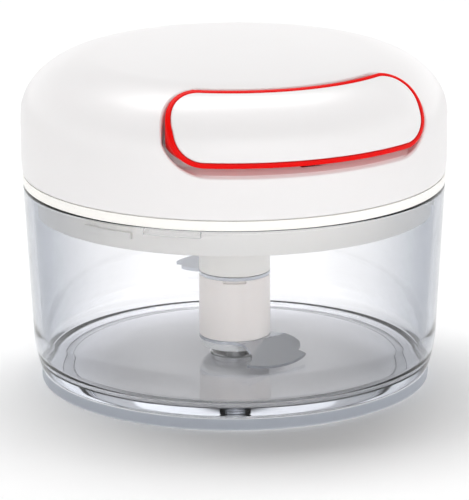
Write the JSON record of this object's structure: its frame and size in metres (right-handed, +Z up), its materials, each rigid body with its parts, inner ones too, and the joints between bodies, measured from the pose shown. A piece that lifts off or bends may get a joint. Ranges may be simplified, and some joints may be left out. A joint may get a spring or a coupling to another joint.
{
  "type": "manual pull-cord food chopper",
  "caption": "Hand-worked food chopper: clear bowl on a grip pad, blade hub on a pivot pin, domed lid with a sprung cord spool, ratchet and curved pull handle.",
  "frame": {"origin": "centre of the grip pad's underside, on the bowl's axis, at table height", "axes": "+Z up along the bowl's axis; the handle is pulled along -Y; +X to the right seen from the handle"},
  "size_m": [0.1253, 0.1272, 0.0984],
  "materials": {
    "clear_plastic": "clear, polished, faint blue-grey tint",
    "grip_pad": "translucent grey soft rubber",
    "pin_steel": "turned",
    "hub_white": "satin moulded",
    "bush_brass": "turned",
    "blade_steel": "ground, polished edge",
    "cap_white": "satin moulded",
    "seal_silicone": "translucent white",
    "lid_white": "glossy moulded",
    "plate_cream": "satin moulded",
    "screw_zinc": "zinc plated",
    "eyelet_grey": "smooth",
    "shaft_steel": "ground",
    "claw_acetal": "smooth",
    "rotor_acetal": "smooth",
    "pawl_acetal": "smooth",
    "spring_steel": "blued",
    "spool_plastic": "smooth",
    "cord_nylon": "braided",
    "handle_white": "glossy moulded",
    "handle_red": "glossy moulded"
  },
  "bodies": {
    "bowl": {"bowl": "clear_plastic", "base_pad": "grip_pad", "pivot_pin": "pin_steel"},
    "seal": {"seal_ring": "seal_silicone"},
    "lid": {"lid_cover": "lid_white", "lid_plate": "plate_cream", "lid_screws": "screw_zinc", "cord_eyelet": "eyelet_grey", "shaft_bush": "bush_brass", "spool_axle": "shaft_steel", "thrust_washer": "pin_steel", "cord_lead": "cord_nylon"},
    "handle": {"handle_face": "handle_white", "handle_back": "handle_red", "handle_screws": "screw_zinc", "cord_knot": "cord_nylon", "cord_run": "cord_nylon"},
    "spool": {"spool": "spool_plastic", "spool_cover": "rotor_acetal", "recoil_spring": "spring_steel", "cord_winding": "cord_nylon"},
    "drive": {"drive_claw": "claw_acetal", "drive_shaft": "shaft_steel", "roll_pin": "spring_steel", "ratchet_rotor": "rotor_acetal", "pawl_pins": "pin_steel", "pawl_spring_a": "spring_steel", "pawl_spring_b": "spring_steel"},
    "pawl_a": {"pawl_a": "pawl_acetal"},
    "pawl_b": {"pawl_b": "pawl_acetal"},
    "blades": {"blade_sleeve": "hub_white", "pivot_bush": "bush_brass", "lower_blade": "blade_steel", "upper_blade": "blade_steel", "blade_end_cap": "cap_white"}
  },
  "joints": [
    {"name": "lid_lift", "type": "slide", "parent": "bowl", "child": "seal", "axis": [0, 0, 1], "range_m": [0, 0.09]},
    {"name": "lid_twist", "type": "hinge", "parent": "seal", "child": "lid", "pos_m": [0, 0, 0.06], "axis": [0, 0, 1], "range_deg": [0, 20]},
    {"name": "handle_pull", "type": "slide", "parent": "lid", "child": "handle", "axis": [0, -1, 0], "range_m": [0, 0.32], "stiffness_N_per_m": 12, "springref_m": -0.08, "deforming": ["cord_run"]},
    {"name": "spool_turn", "type": "hinge", "parent": "lid", "child": "spool", "pos_m": [0, 0, 0.0804], "axis": [0, 0, -1], "range_deg": [0, 900]},
    {"name": "drive_turn", "type": "hinge", "parent": "lid", "child": "drive", "pos_m": [0, 0, 0.06], "axis": [0, 0, -1], "range_deg": [0, 900]},
    {"name": "blade_turn", "type": "hinge", "parent": "bowl", "child": "blades", "pos_m": [0, 0, 0.02], "axis": [0, 0, -1], "range_deg": [0, 900]},
    {"name": "pawl_a_swing", "type": "hinge", "parent": "drive", "child": "pawl_a", "pos_m": [0.0144, 0, 0.0717], "axis": [0, 0, 1], "range_deg": [0, 12], "stiffness_Nm_per_rad": 0.004, "springref_deg": -11.46, "deforming": ["pawl_spring_a"]},
    {"name": "pawl_b_swing", "type": "hinge", "parent": "drive", "child": "pawl_b", "pos_m": [-0.0144, 0, 0.0717], "axis": [0, 0, 1], "range_deg": [0, 12], "stiffness_Nm_per_rad": 0.004, "springref_deg": -11.46, "deforming": ["pawl_spring_b"]}
  ],
  "couplings": [
    {"joint": "spool_turn", "follows": "handle_pull", "rad_per_m": 48.781},
    {"joint": "drive_turn", "follows": "handle_pull", "rad_per_m": 48.781},
    {"joint": "blade_turn", "follows": "handle_pull", "rad_per_m": 48.781}
  ]
}
